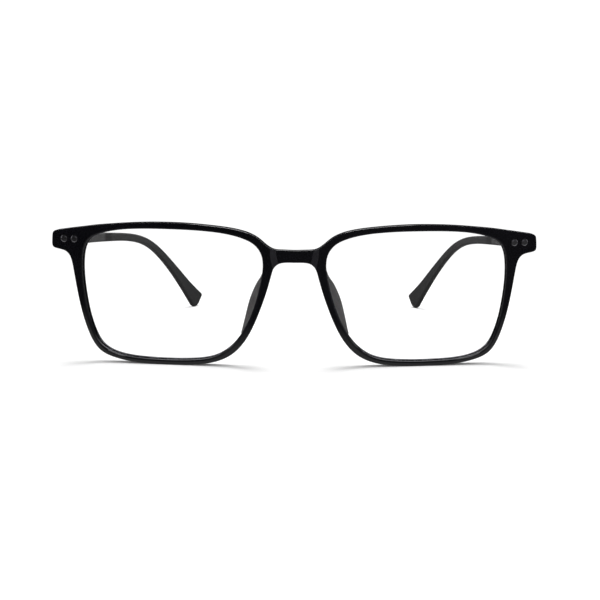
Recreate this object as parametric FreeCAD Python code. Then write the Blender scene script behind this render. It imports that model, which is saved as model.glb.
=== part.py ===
import FreeCAD, Part
import math
import os

# Spectacles with open temples, resting on a table.  Millimetres.
# +X to the wearer's left, +Y backwards along the temples, +Z up.  X = 0 is the
# plane of symmetry; the rim bottoms and the temple tips rest on Z = 0.
# Shapes are drawn with Y = 0 near the pole of the curved front, then moved by
# ORIGIN_Y so that the origin is the centre of the footprint.
#
# The front has its own local frame: u across (same as X), v up the front,
# w backwards through it.  That frame leans by FRONT_TILT and sits at FRONT_Z.
# "Depth" is measured from the front face, towards the centre of its sphere.
# One-sided pieces are built on the left (+X) and mirrored for the right.

Vector = FreeCAD.Vector
UP = Vector(0, 0, 1)
LEFT = Vector(1, 0, 0)

# ---- driving dimensions ----------------------------------------------------
ORIGIN_Y = 70.21          # half way between foremost rim and temple tips
FIT = 0.03                # gap round every inlaid metal part

FRONT_TILT = 4.5          # degrees; the rim bottoms sit further back
FRONT_Z = 35.46           # height of the local origin, about rivet height
FACE_R = 260.0            # radius of the front face (face-form curve)
POLE_V = -16.0            # v of the pole of that sphere
FRONT_T = 3.2             # depth of the front, face to back
EDGE_R = 0.28             # rounding of the front's outer edges
LONG_EDGE = 60.0          # edges longer than this are rounded
BLOCK_W0, BLOCK_W1 = -3.0, 18.0   # w range of blocks cut down to the front's shape

BRIDGE_RECESS = 1.12      # bridge face behind the rim faces
BRIDGE_FACE_W = 0.2       # w of the uncut face at the foot of the bridge, about
BRIDGE_FLAT_U = 4.9       # half width of the recessed flat of the bridge
BRIDGE_EDGE_U = 7.1       # where the sloped facets meet the rims
BRIDGE_EDGE_W = 0.28      # and their w there
NOTCH_W0 = -2.0           # the bridge cutter starts ahead of the face
NOTCH_V0, NOTCH_H = -9.6, 12.0    # its lower end and height

GROOVE_DEPTH = 0.60       # lens groove in the rim
GROOVE_W = 1.00           # lens groove width
GROOVE_FRONT = 1.10       # depth of the groove's front wall behind the face
LENS_T = 1.60             # lens centre thickness
LENS_GAP = 0.04           # clearance all round the lens
TONGUE_W = 0.90           # bevel tongue of the lens
GLUE_FILM = 0.03          # between nose pad and rim

PIVOT_X, PIVOT_Y = 62.90, 13.90   # hinge axis, vertical
HINGE_Z = 35.55           # mid height of the hinge barrel
BARREL_R = 1.40
KNUCKLE_MID = 1.40        # height of the temple leaf's knuckle
KNUCKLE_GAP = 0.05        # axial play at each side of it
KNUCKLE_END = 1.35        # height of each front leaf knuckle
BORE_TEMPLE_R = 0.64      # temple knuckle bore: 0.04 running clearance
BORE_FRONT_R = 0.62
BORE_LEN = 12.0
WEB_INSET = 0.15          # webs are narrower than the barrel by this each side
WEB_LEN = 3.6             # web from the pivot forwards, before trimming

SCREW_R = 0.60
SCREW_HEAD_R = 1.00
SCREW_HEAD_H = 0.55       # sinking for the screw head
SCREW_DROP = 0.02         # both screw ends lie this much below the barrel's
SCREW_OVERLAP = 0.1       # shank run on into the head
SLOT_W, SLOT_DEPTH = 0.32, 0.28

LEAF_T = 0.90             # front hinge plate thickness
LEAF_H = 4.30             # and height
LEAF_HALF_W = 2.70        # and half width
LEAF_ANGLE = 13.8         # degrees; follows the curve of the end piece's back
LEAF_U, LEAF_V = 64.2, -0.6       # plate centre on the back of the end piece
WEB_SINK = 0.2            # metal left between the webs and the plate's front

RIVET_V = -0.62           # rivet height on the front
RIVET_U = {"inner": 62.25, "outer": 65.35}
RIVET_HEAD_R = 1.00
RIVET_HEAD_H = 0.45
RIVET_DOME = 0.16         # how far the head stands proud
RIVET_SHANK_R = 0.60
RIVET_DEPTH = 2.62        # end of the shank behind the face
RIVET_HOLE_DEPTH = 5.0

TEMPLE_Y0, TEMPLE_Y1 = 8.0, 146.0 # run of the plan outline
TEMPLE_IN_X0 = 65.0       # inner face: X at TEMPLE_Y0
TEMPLE_SLOPE = 0.048      # inward run of the inner face per mm of Y
TEMPLE_BEND_Y = 84.0      # inward curl starts here
TEMPLE_BEND = 0.00367     # inward curl, mm per mm^2
SIDE_X0, SIDE_X1 = 40.0, 80.0     # X range of blocks with the side outline
PLAN_Z0, PLAN_Z1 = -10.0, 60.0    # Z range of blocks with the plan outline
TIP_R_LOW = 3.5           # rounding of the tip's lower corner
TIP_R_HIGH = 1.2          # and of its upper corner
BUTT_Y = 0.62             # butt plane behind the hinge plate's back face
BUTT_GAP = 0.16           # air gap added to it
BUTT_HALF = 9.0           # half width of the butt cutter

CORE_W = 0.70             # core strip, thickness
CORE_H = 1.40             # core strip, height
CORE_IN = 0.62            # depth of the core behind the inner face
CORE_END_Y = 127.0
CORE_END_ROOM = 1.3       # its slot runs on this far

# Temple hinge leaf: plate Y range, thickness, height and mid height
PLATE_Y0, PLATE_Y1 = 14.0, 26.4
PLATE_T = 0.80
PLATE_H = 2.5
PLATE_Z = HINGE_Z - 0.15
T_RIVET_Y = (18.8, 23.6)
T_RIVET_R = 0.50
T_RIVET_HEAD_R = 1.00
T_RIVET_HEAD_H = 0.35
T_RIVET_DOME = 0.15
T_RIVET_INSET = 0.15      # shank starts this far inside the inner face

# ---- outlines and stations ---------------------------------------------------
# Outer half outline of the front, bridge top to bridge bottom (u, v).
OUTER = [
    (0.00, -2.59), (3.38, -2.49), (5.82, -2.23), (7.42, -1.37),
    (9.97, 0.70), (12.10, 1.89), (14.62, 2.73), (18.01, 3.40),
    (22.27, 3.91), (26.95, 4.30), (31.85, 4.55), (36.76, 4.60),
    (41.85, 4.49), (46.76, 4.21), (51.85, 3.78), (57.12, 3.22),
    (60.00, 2.80), (63.00, 2.38), (65.60, 1.98), (67.30, 1.72),
    (68.20, 1.50), (68.66, 1.14), (68.90, 0.50), (69.02, -0.40),
    (69.10, -1.50), (69.10, -2.35), (68.88, -2.98), (68.30, -3.36),
    (67.50, -3.55), (66.60, -3.72), (65.01, -4.21), (63.89, -5.29),
    (63.27, -6.98), (62.80, -9.79), (62.05, -15.26), (61.27, -19.91),
    (60.35, -23.90), (59.25, -27.40), (58.08, -30.04), (56.78, -31.91),
    (55.17, -33.24), (52.91, -34.24), (49.92, -35.01), (46.49, -35.59),
    (42.62, -35.92), (38.12, -36.03), (33.42, -35.95), (29.13, -35.67),
    (25.27, -35.19), (22.28, -34.48), (19.60, -33.40), (17.35, -31.97),
    (15.56, -30.28), (13.79, -28.02), (12.13, -25.19), (10.58, -21.85),
    (9.02, -17.85), (7.59, -13.59), (6.37, -9.26), (5.50, -7.22),
    (4.41, -6.40), (2.89, -6.03), (0.00, -5.99),
]
NASAL = OUTER[51:]        # the part of it beside the nose

# Lens opening (u, v), closed.
OPENING = [
    (34.81, 2.79), (40.29, 2.78), (44.91, 2.62), (48.98, 2.25),
    (52.82, 1.53), (55.77, 0.62), (57.69, -0.45), (58.92, -1.88),
    (59.70, -3.74), (60.20, -6.45), (60.37, -9.92), (60.21, -13.79),
    (59.70, -18.48), (59.02, -22.52), (58.10, -25.98), (57.00, -28.85),
    (55.77, -30.75), (54.10, -32.13), (51.91, -33.15), (49.04, -33.89),
    (45.82, -34.29), (41.42, -34.49), (35.52, -34.53), (30.68, -34.36),
    (26.60, -33.99), (23.73, -33.40), (21.29, -32.44), (19.01, -30.94),
    (16.97, -29.00), (15.13, -26.58), (13.45, -23.64), (11.96, -20.27),
    (10.66, -16.51), (9.62, -12.56), (8.91, -8.94), (8.75, -5.97),
    (9.15, -3.81), (10.09, -2.10), (11.58, -0.70), (13.61, 0.34),
    (16.53, 1.26), (20.03, 1.94), (24.08, 2.38), (29.13, 2.67),
]

# Temple, side view: top edge and bottom edge (Y, Z).
TEMPLE_TOP = [
    (10.0, 37.93), (16.0, 37.6), (22.0, 37.18), (28.0, 36.81), (36.0, 36.41),
    (44.0, 36.1), (52.0, 35.81), (60.0, 35.51), (68.0, 35.11), (76.0, 34.55),
    (84.0, 33.71), (92.0, 32.38), (100.0, 30.14), (108.0, 26.68),
    (116.0, 22.07), (124.0, 16.67), (132.0, 10.94), (140.3, 5.03),
]
TEMPLE_BOTTOM = [
    (10.0, 32.96), (16.0, 33.24), (22.0, 33.36), (28.0, 33.37),
    (36.0, 33.28), (44.0, 33.12), (52.0, 32.93), (60.0, 32.67), (68.0, 32.3),
    (76.0, 31.73), (84.0, 30.86), (92.0, 29.37), (100.0, 26.79),
    (108.0, 22.75), (116.0, 17.23), (124.0, 10.12), (132.0, 1.3),
    (134.9, -2.11),
]

# Temple thickness: (Y, thickness)
TEMPLE_THICK = [(8.0, 3.5), (14.0, 3.4), (24.0, 2.75), (36.0, 2.35),
                (60.0, 2.1), (90.0, 1.85), (115.0, 1.75), (145.0, 1.75)]

# Nose pad sections: (v, run beyond the lens-side edge, run behind the rim)
PAD = [(-8.4, 0.06, 0.2), (-10.2, 0.44, 1.4), (-12.2, 1.25, 2.9),
       (-14.5, 1.82, 3.9), (-17.0, 2.10, 4.4), (-19.5, 1.98, 4.2),
       (-21.8, 1.60, 3.4), (-23.7, 1.15, 2.3), (-25.2, 0.68, 1.2),
       (-26.6, 0.20, 0.4)]


# ---- helpers ----------------------------------------------------------------
def moved(shape, matrix):
    result = shape.copy()
    result.transformShape(matrix, True)
    return result


def mirrored(shape):
    return shape.mirror(Vector(0, 0, 0), LEFT)


def largest(shape):
    """The largest solid of a boolean result, its split faces merged."""
    return max(shape.removeSplitter().Solids, key=lambda solid: solid.Volume)


def interpolate(table, x):
    """Linear reading of a two-column table, held constant past its ends."""
    if x <= table[0][0]:
        return table[0][1]
    for low, high in zip(table, table[1:]):
        if x <= high[0]:
            share = (x - low[0]) / (high[0] - low[0])
            return low[1] + share * (high[1] - low[1])
    return table[-1][1]


def spline(points):
    curve = Part.BSplineCurve()
    curve.interpolate(points)
    return curve


def polygon_prism(points, run):
    return Part.Face(Part.makePolygon(points + points[:1])).extrude(run)


def strip_face(first, second):
    """Face between two splines that run the same way."""
    return Part.Face(Part.Wire([
        spline(first).toShape(),
        Part.makeLine(first[-1], second[-1]),
        spline(list(reversed(second))).toShape(),
        Part.makeLine(second[0], first[0])]))


def rivet_cap(radius, proud, point, axis):
    """Domed cap standing 'proud' of the flat head at 'point'."""
    dome_r = (radius ** 2 + proud ** 2) / (2 * proud)
    dome = Part.makeSphere(dome_r, point + axis * (proud - dome_r))
    return Part.makeCylinder(radius, proud + 0.1, point, axis).common(dome)


# ---- local frame of the front -------------------------------------------------
tilt_cos = math.cos(math.radians(FRONT_TILT))
tilt_sin = math.sin(math.radians(FRONT_TILT))
LOCAL = FreeCAD.Matrix(1, 0, 0, 0,
                       0, -tilt_sin, tilt_cos, 0,
                       0, tilt_cos, tilt_sin, FRONT_Z,
                       0, 0, 0, 1)


def sag(u, v):
    """w of the front face at (u, v)."""
    return FACE_R - math.sqrt(FACE_R ** 2 - u * u - (v - POLE_V) ** 2)


def closed_curve(points):
    curve = Part.BSplineCurve()
    curve.interpolate([Vector(u, v, 0) for u, v in points], PeriodicFlag=True)
    return curve


def offset_curve(curve, distance, count=72):
    """Closed curve a distance outside another; inside it if negative."""
    first, last = curve.FirstParameter, curve.LastParameter
    samples = []
    for i in range(count):
        parameter = first + (last - first) * i / count
        samples.append((curve.value(parameter), curve.tangent(parameter)[0]))
    area = sum(here.x * after.y - after.x * here.y
               for (here, _), (after, _) in zip(samples, samples[1:] + samples[:1]))
    shift = distance if area > 0 else -distance
    return closed_curve([(point.x + tangent.y * shift, point.y - tangent.x * shift)
                         for point, tangent in samples])


def prism(curve):
    face = Part.Face(Part.Wire([curve.toShape()]))
    face.translate(Vector(0, 0, BLOCK_W0))
    return face.extrude(Vector(0, 0, BLOCK_W1 - BLOCK_W0))


def ball(depth):
    """Ball whose surface lies 'depth' behind the front face."""
    sphere = Part.makeSphere(FACE_R - depth)
    # turned so that its poles lie clear of the front
    sphere.rotate(Vector(0, 0, 0), Vector(1, 0, 0), 37.0)
    sphere.translate(Vector(0, POLE_V, FACE_R))
    return sphere


def layer(depth0, depth1, curve):
    """What lies inside a closed curve, between two depths."""
    return prism(curve).common(ball(depth0)).cut(ball(depth1))


def front_rivet(u):
    """A rivet of the front and its hole, in the local frame."""
    point = Vector(u, RIVET_V, sag(u, RIVET_V))
    outward = Vector(u, RIVET_V - POLE_V, point.z - FACE_R)
    outward.normalize()
    inward = outward * -1.0
    head = Part.makeCylinder(RIVET_HEAD_R, RIVET_HEAD_H, point, inward)
    cap = rivet_cap(RIVET_HEAD_R, RIVET_DOME, point, outward)
    shank = Part.makeCylinder(RIVET_SHANK_R, RIVET_DEPTH - RIVET_HEAD_H,
                              point + inward * RIVET_HEAD_H, inward)
    # counterbore for the head, starting 1 mm ahead of the face, and shank hole
    hole = Part.makeCylinder(RIVET_HEAD_R + FIT, RIVET_HEAD_H + FIT + 1.0,
                             point + outward, inward)
    hole = hole.fuse(Part.makeCylinder(RIVET_SHANK_R + FIT, RIVET_HOLE_DEPTH,
                                       point, inward))
    return largest(head.fuse(cap).fuse(shank)), hole


# ---- frame of the front hinge plate --------------------------------------------
# x along the plate, y backwards through it with 0 on its back face, z up.
plate_centre = LOCAL.multVec(Vector(LEAF_U, LEAF_V, sag(LEAF_U, LEAF_V) + FRONT_T))
leaf_cos = math.cos(math.radians(LEAF_ANGLE))
leaf_sin = math.sin(math.radians(LEAF_ANGLE))
LEAF_FRAME = FreeCAD.Matrix(leaf_cos, -leaf_sin, 0, plate_centre.x,
                            leaf_sin, leaf_cos, 0, plate_centre.y,
                            0, 0, 1, HINGE_Z,
                            0, 0, 0, 1)


def leaf_box(x0, x1, y0, y1, height):
    box = Part.makeBox(x1 - x0, y1 - y0, height, Vector(x0, y0, -height / 2))
    return moved(box, LEAF_FRAME)


# ---- front frame --------------------------------------------------------------
def round_edges(solid):
    """Round the long outer edges on both faces where the outline allows it."""
    edges = [edge for edge in solid.Edges if edge.Length > LONG_EDGE]
    # guards against a fillet that the tight curves of the outline make fail
    try:
        rounded = solid.makeFillet(EDGE_R, edges)
        if rounded.isValid() and rounded.Volume > 0.5 * solid.Volume:
            return rounded
    except Exception:
        pass
    return solid


def bridge_notch():
    """Cutter for the recessed bridge, with a sloped facet at each end."""
    flat_w = BRIDGE_RECESS + BRIDGE_FACE_W
    section = [(-BRIDGE_EDGE_U, NOTCH_W0), (-BRIDGE_EDGE_U, BRIDGE_EDGE_W),
               (-BRIDGE_FLAT_U, flat_w), (BRIDGE_FLAT_U, flat_w),
               (BRIDGE_EDGE_U, BRIDGE_EDGE_W), (BRIDGE_EDGE_U, NOTCH_W0)]
    notch = polygon_prism([Vector(u, 0, w) for u, w in section],
                          Vector(0, NOTCH_H, 0))
    notch.translate(Vector(0, NOTCH_V0, 0))
    return notch


def make_front(opening, rivet_holes):
    """The front; rivet_holes are in the local frame."""
    outline = OUTER + [(-u, v) for u, v in reversed(OUTER[1:-1])]
    front = layer(0.0, FRONT_T, closed_curve(outline))
    front = round_edges(largest(front)).cut(bridge_notch())
    hole = prism(opening)
    groove = layer(GROOVE_FRONT, GROOVE_FRONT + GROOVE_W,
                   offset_curve(opening, GROOVE_DEPTH))
    front = front.cut(hole).cut(groove)
    front = front.cut(mirrored(hole)).cut(mirrored(groove))
    for rivet_hole in rivet_holes:
        front = front.cut(rivet_hole).cut(mirrored(rivet_hole))
    front = moved(front, LOCAL)
    # pocket for the hinge plate, open to the back
    pocket = leaf_box(-LEAF_HALF_W - FIT, LEAF_HALF_W + FIT, -LEAF_T - FIT, 4.0,
                      LEAF_H + 2 * FIT)
    front = front.cut(pocket).cut(mirrored(pocket))
    # flats on the rim bottoms
    front = front.cut(Part.makeBox(160, 40, 10, Vector(-80, -20, -10.0)))
    return largest(front)


# ---- lens ---------------------------------------------------------------------
def make_lens(opening):
    """Curved lens whose tongue sits in the middle of the rim groove."""
    middle = GROOVE_FRONT + GROOVE_W / 2
    body = layer(middle - LENS_T / 2, middle + LENS_T / 2,
                 offset_curve(opening, -LENS_GAP))
    tongue = layer(middle - TONGUE_W / 2, middle + TONGUE_W / 2,
                   offset_curve(opening, GROOVE_DEPTH - LENS_GAP))
    return moved(largest(body.fuse(tongue)), LOCAL)


# ---- nose pad -------------------------------------------------------------------
def outline_u(points, v, pick):
    """u picked (max or min) where height v crosses the closed polygon."""
    crossings = []
    for (u0, v0), (u1, v1) in zip(points, points[1:] + points[:1]):
        if (v0 - v) * (v1 - v) <= 0 and v0 != v1:
            crossings.append(u0 + (v - v0) / (v1 - v0) * (u1 - u0))
    return pick(crossings)


def pad_section(v, run, back):
    """Level section from the nose side of the rim round to its lens side."""
    opening_u = outline_u(OPENING, v, min)
    rim_w = sag(opening_u, v) + FRONT_T
    root_w = rim_w - 0.8                # sunk in the rim, trimmed off later
    nose_u = outline_u(NASAL, v, max) + 0.35
    lens_u = opening_u - 0.10
    tip_u, tip_w = opening_u + run, rim_w + back
    lip = 0.40 + 0.55 * min(1.0, back / 3.0)    # thickness towards the tip
    section = [
        (nose_u, root_w),
        (nose_u, rim_w + 0.05),
        (nose_u + 0.35 * (tip_u - nose_u), rim_w + 0.50 * back),
        (tip_u - 0.80 * lip, tip_w - 0.10 * lip),
        (tip_u - 0.15 * lip, tip_w),
        (tip_u, tip_w - 0.45 * lip),
        (lens_u + 0.50 * (tip_u - lens_u), rim_w + 0.32 * back),
        (lens_u, rim_w + 0.02),
        (lens_u, root_w)]
    points = [Vector(u, v, w) for u, w in section]
    return Part.Wire([spline(points).toShape(),
                      Part.makeLine(points[-1], points[0])])


def make_pad():
    pad = Part.makeLoft([pad_section(*station) for station in PAD], True, False)
    # its root follows the back of the rim, a glue film away
    return moved(largest(pad.common(ball(FRONT_T + GLUE_FILM))), LOCAL)


# ---- hinge ----------------------------------------------------------------------
MID_Z = HINGE_Z - KNUCKLE_MID / 2               # foot of the temple knuckle
LOW_Z = MID_Z - KNUCKLE_GAP - KNUCKLE_END       # foot of the lower front knuckle
HIGH_Z = HINGE_Z + KNUCKLE_MID / 2 + KNUCKLE_GAP    # foot of the upper one
BARREL_TOP = HIGH_Z + KNUCKLE_END


def pivot_cylinder(radius, height, z):
    return Part.makeCylinder(radius, height, Vector(PIVOT_X, PIVOT_Y, z), UP)


def pivot_bore(radius):
    return pivot_cylinder(radius, BORE_LEN, HINGE_Z - BORE_LEN / 2)


def make_front_leaf(rivet_holes):
    """Plate in the back of the end piece, with two knuckles on webs."""
    leaf = leaf_box(-LEAF_HALF_W, LEAF_HALF_W, -LEAF_T, 0.0, LEAF_H)
    # the webs stop inside the plate and within its inner edge
    keep = leaf_box(-LEAF_HALF_W, 6.0, -LEAF_T + WEB_SINK, 8.0, 12.0)
    for z in (LOW_Z, HIGH_Z):
        barrel = pivot_cylinder(BARREL_R, KNUCKLE_END, z)
        web = Part.makeBox(2 * (BARREL_R - WEB_INSET), WEB_LEN, KNUCKLE_END,
                           Vector(PIVOT_X - BARREL_R + WEB_INSET,
                                  PIVOT_Y - WEB_LEN, z))
        leaf = leaf.fuse(barrel).fuse(web.common(keep))
    leaf = leaf.cut(pivot_bore(BORE_FRONT_R))
    leaf = leaf.cut(pivot_cylinder(SCREW_HEAD_R + FIT, SCREW_HEAD_H + 1.0,
                                   BARREL_TOP - SCREW_HEAD_H))
    leaf = largest(leaf)
    for hole in rivet_holes:
        leaf = largest(leaf.cut(hole))
    return leaf


def make_screw():
    """Hinge screw with a slotted head sunk in the top knuckle."""
    foot = LOW_Z - SCREW_DROP
    top = BARREL_TOP - SCREW_DROP
    screw = pivot_cylinder(SCREW_R, top - SCREW_HEAD_H - foot + SCREW_OVERLAP, foot)
    screw = screw.fuse(pivot_cylinder(SCREW_HEAD_R, SCREW_HEAD_H - FIT,
                                      top - SCREW_HEAD_H + FIT))
    slot = Part.makeBox(3.0, SLOT_W, 0.5, Vector(PIVOT_X - 1.5, PIVOT_Y - SLOT_W / 2,
                                                 top - SLOT_DEPTH))
    return largest(screw.cut(slot))


# ---- temple -----------------------------------------------------------------------
def inner_x(y):
    """X of the temple's inner face."""
    bend = max(0.0, y - TEMPLE_BEND_Y)
    return (TEMPLE_IN_X0 - TEMPLE_SLOPE * (y - TEMPLE_Y0)
            - TEMPLE_BEND * bend * bend)


def thickness(y):
    return interpolate(TEMPLE_THICK, y)


def side_prism(top, bottom):
    face = strip_face(top, bottom)
    face.translate(Vector(SIDE_X0, 0, 0))
    return face.extrude(Vector(SIDE_X1 - SIDE_X0, 0, 0))


def plan_prism(inner_depth, outer_depth, y0, y1, count):
    """Block between two depths, functions of Y, outside the inner face."""
    inner, outer = [], []
    for i in range(count + 1):
        y = y0 + (y1 - y0) * i / count
        inner.append(Vector(inner_x(y) + inner_depth(y), y, PLAN_Z0))
        outer.append(Vector(inner_x(y) + outer_depth(y), y, PLAN_Z0))
    return strip_face(inner, outer).extrude(Vector(0, 0, PLAN_Z1 - PLAN_Z0))


def core_strip(gap, y0, y1, end_y, count=80):
    """Strip on the temple's centre line, enlarged by 'gap' all round.

    end_y ends the side outline, y0 and y1 bound the plan outline."""
    centre = spline([Vector(0, y, (z + interpolate(TEMPLE_BOTTOM, y)) / 2)
                     for y, z in TEMPLE_TOP if y < 134.0])
    first, last = centre.FirstParameter, centre.LastParameter
    half = (CORE_H + 2 * gap) / 2
    top, bottom = [], []
    for i in range(count + 1):
        parameter = first + (last - first) * i / count
        point, tangent = centre.value(parameter), centre.tangent(parameter)[0]
        if 20.0 <= point.y <= end_y:
            normal = Vector(0, -tangent.z, tangent.y)
            top.append(point + normal * half)
            bottom.append(point - normal * half)
    plan = plan_prism(lambda y: CORE_IN - gap, lambda y: CORE_IN + CORE_W + gap,
                      y0, y1, 50)
    return side_prism(top, bottom).common(plan)


def inner_block(y0, y1, depth0, depth1, height):
    """Block hugging the temple's inner face between two depths."""
    z = PLATE_Z - height / 2
    x0, x1 = inner_x(y0), inner_x(y1)
    return polygon_prism([Vector(x0 + depth0, y0, z), Vector(x0 + depth1, y0, z),
                          Vector(x1 + depth1, y1, z), Vector(x1 + depth0, y1, z)],
                         Vector(0, 0, height))


def temple_rivet(y):
    """Rivet through temple and plate, head outside, and its hole."""
    inner = inner_x(y)
    outer = inner + thickness(y)
    shank = Part.makeCylinder(T_RIVET_R, outer - inner - T_RIVET_INSET,
                              Vector(inner + T_RIVET_INSET, y, PLATE_Z), LEFT)
    head = Part.makeCylinder(T_RIVET_HEAD_R, T_RIVET_HEAD_H,
                             Vector(outer - T_RIVET_HEAD_H, y, PLATE_Z), LEFT)
    cap = rivet_cap(T_RIVET_HEAD_R, T_RIVET_DOME, Vector(outer, y, PLATE_Z), LEFT)
    hole = Part.makeCylinder(T_RIVET_R + FIT, 6.0,
                             Vector(inner - 0.5, y, PLATE_Z), LEFT)
    hole = hole.fuse(Part.makeCylinder(
        T_RIVET_HEAD_R + FIT, 3.0,
        Vector(outer - T_RIVET_HEAD_H - FIT, y, PLATE_Z), LEFT))
    return largest(shank.fuse(head).fuse(cap)), hole


def tip_corners(solid):
    """The edges across the tip's corners, lowest first."""
    middle_x = (SIDE_X0 + SIDE_X1) / 2
    edges = [edge for edge in solid.Edges
             if abs(edge.CenterOfMass.x - middle_x) < 1e-6
             and edge.CenterOfMass.y > 130 and len(edge.Vertexes) == 2
             and abs(edge.Vertexes[0].Point.x - edge.Vertexes[1].Point.x) > 30]
    return sorted(edges, key=lambda edge: edge.CenterOfMass.z)


def make_temple(rivet_holes):
    side = side_prism([Vector(0, y, z) for y, z in TEMPLE_TOP],
                      [Vector(0, y, z) for y, z in TEMPLE_BOTTOM])
    side = side.makeFillet(TIP_R_LOW, [tip_corners(side)[0]])
    side = side.makeFillet(TIP_R_HIGH, [tip_corners(side)[-1]])
    temple = side.common(plan_prism(lambda y: 0.0, thickness,
                                    TEMPLE_Y0, TEMPLE_Y1, 60))
    # butt face, parallel to the hinge plate in the end piece
    temple = temple.cut(leaf_box(-BUTT_HALF, BUTT_HALF, -BUTT_HALF,
                                 BUTT_Y + BUTT_GAP, 20.0))
    # flat on the tip
    temple = largest(temple.cut(Part.makeBox(160, 200, 20, Vector(-80, 0, -20.0))))
    temple = temple.cut(inner_block(PLATE_Y0 - FIT, PLATE_Y1 + FIT, -2.0,
                                    PLATE_T + FIT, PLATE_H + 2 * FIT))
    for hole in rivet_holes:
        temple = temple.cut(hole)
    core_room = core_strip(FIT, PLATE_Y1, 141.0, CORE_END_Y + CORE_END_ROOM)
    return largest(temple.cut(core_room))


def make_temple_leaf(rivet_holes):
    """Plate in the temple's inner face, with an arm to the middle knuckle."""
    plate = inner_block(PLATE_Y0, PLATE_Y1, 0.0, PLATE_T, PLATE_H)
    leaf = plate.fuse(pivot_cylinder(BARREL_R, KNUCKLE_MID, MID_Z))
    arm_outline = [
        (PIVOT_X + 0.20, PIVOT_Y + BARREL_R - 0.02),
        (PIVOT_X + 0.95, PIVOT_Y - 1.0),
        (inner_x(14.8) + 0.30, 14.8),
        (inner_x(15.6) + 0.30, 15.6),
        (inner_x(18.4) + 0.30, 18.4),
        (inner_x(18.4) - 0.05, 18.4)]
    arm = polygon_prism([Vector(x, y, MID_Z) for x, y in arm_outline],
                        Vector(0, 0, KNUCKLE_MID))
    leaf = leaf.fuse(arm).cut(pivot_bore(BORE_TEMPLE_R))
    for hole in rivet_holes:
        leaf = leaf.cut(hole)
    return largest(leaf)


# ---- build and write ----------------------------------------------------------
opening = closed_curve(OPENING)
front_rivets = {place: front_rivet(u) for place, u in RIVET_U.items()}
front_holes = [hole for _, hole in front_rivets.values()]
temple_rivets = [temple_rivet(y) for y in T_RIVET_Y]
temple_holes = [hole for _, hole in temple_rivets]

left_pieces = {
    "lens": [make_lens(opening)],
    "nose_pad": [make_pad()],
    "hinge_front_leaf": [make_front_leaf([moved(hole, LOCAL)
                                          for hole in front_holes])],
    "hinge_temple_leaf": [make_temple_leaf(temple_holes)],
    "hinge_screw": [make_screw()],
    "temple_rivets": [rivet for rivet, _ in temple_rivets],
    "temple": [make_temple(temple_holes)],
    # the core's front end stands just behind the hinge plate
    "temple_core": [largest(core_strip(0.0, PLATE_Y1 + 2 * FIT, 140.0, CORE_END_Y))],
}
for place, (rivet, _) in front_rivets.items():
    left_pieces["front_rivet_" + place] = [moved(rivet, LOCAL)]

pieces = {"front_frame": make_front(opening, front_holes)}
for name, solids in left_pieces.items():
    mirror_solids = [mirrored(solid) for solid in solids]
    for side, group in (("left", solids), ("right", mirror_solids)):
        shape = group[0] if len(group) == 1 else Part.makeCompound(group)
        pieces[name + "_" + side] = shape

os.makedirs("parts", exist_ok=True)
for name, shape in pieces.items():
    placed = shape.copy()
    placed.translate(Vector(0, -ORIGIN_Y, 0))
    placed.exportStep("parts/" + name + ".step")
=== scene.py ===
"""Eyeglasses: a glossy black front, matte black temples, clear lenses and grey nose pads.

They stand open on a table.  +X is the wearer's left, +Y backwards, +Z up.  Shapes are drawn
in millimetres and put into the scene in metres.  The front is drawn in a frame of its own
that leans forward at the top: x across, rise up the front, back through it.  Its face is
part of a sphere, and depth is measured from that face.  The temples are drawn with y
counted backwards from the front's origin and z up from the table.
"""

import math

import bmesh
import bpy
import numpy as np
from mathutils import Matrix, Vector
from mathutils.geometry import delaunay_2d_cdt


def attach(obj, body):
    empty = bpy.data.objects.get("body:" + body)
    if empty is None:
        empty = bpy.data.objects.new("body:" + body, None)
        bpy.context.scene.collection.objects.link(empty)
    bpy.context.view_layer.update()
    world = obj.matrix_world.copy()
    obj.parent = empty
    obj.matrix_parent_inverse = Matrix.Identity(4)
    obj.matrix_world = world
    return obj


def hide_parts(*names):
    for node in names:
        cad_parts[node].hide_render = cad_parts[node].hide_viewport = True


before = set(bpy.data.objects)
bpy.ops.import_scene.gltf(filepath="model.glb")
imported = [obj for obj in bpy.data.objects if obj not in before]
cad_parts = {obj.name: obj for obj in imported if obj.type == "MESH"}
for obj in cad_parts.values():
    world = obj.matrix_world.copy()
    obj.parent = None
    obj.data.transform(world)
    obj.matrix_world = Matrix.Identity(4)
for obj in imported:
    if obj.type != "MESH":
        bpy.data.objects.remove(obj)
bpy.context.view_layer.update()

# ---- dimensions, mm -------------------------------------------------------
MM = 0.001
ORIGIN_Y = 70.21                # the front's origin lies this far forward of the scene's
FRONT_Z = 35.46                 # and this high
TILT_COS, TILT_SIN = math.cos(math.radians(4.5)), math.sin(math.radians(4.5))
FACE_R, POLE_RISE = 260.0, -16.0    # the face's sphere and its foremost point
FRONT_T = 3.2
FIT = 0.03                      # play around everything let into a pocket or hole

LENS_T, LENS_GAP = 1.60, 0.04
GROOVE_DEPTH, GROOVE_W, GROOVE_BACK = 0.60, 1.00, 1.10

BRIDGE_RECESS = 1.0             # the middle of the bridge is set back by this
# where the slope down to the recess starts and ends: rise, then x
SLOPE_OUTER = ([-9.0, -7.2, -6.0, -4.0, -2.0], [5.75, 6.05, 6.35, 6.66, 6.70])
SLOPE_INNER = ([-6.3, -5.6, -4.2, -2.4], [4.35, 4.65, 4.95, 5.20])

RIVET_R = 1.0                   # head
FRONT_RIVET_RISE, FRONT_RIVET_X = -0.62, (62.25, 65.35)
FRONT_SHANK_R, TEMPLE_SHANK_R = 0.60, 0.50

HINGE_Z = 35.55
LEAF_T, LEAF_H, LEAF_ANGLE = 0.90, 4.30, math.radians(13.8)     # leaf in the front's back
LEAF_X, LEAF_RISE = 64.2, -0.6
POCKET_HALF = 2.73

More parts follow.
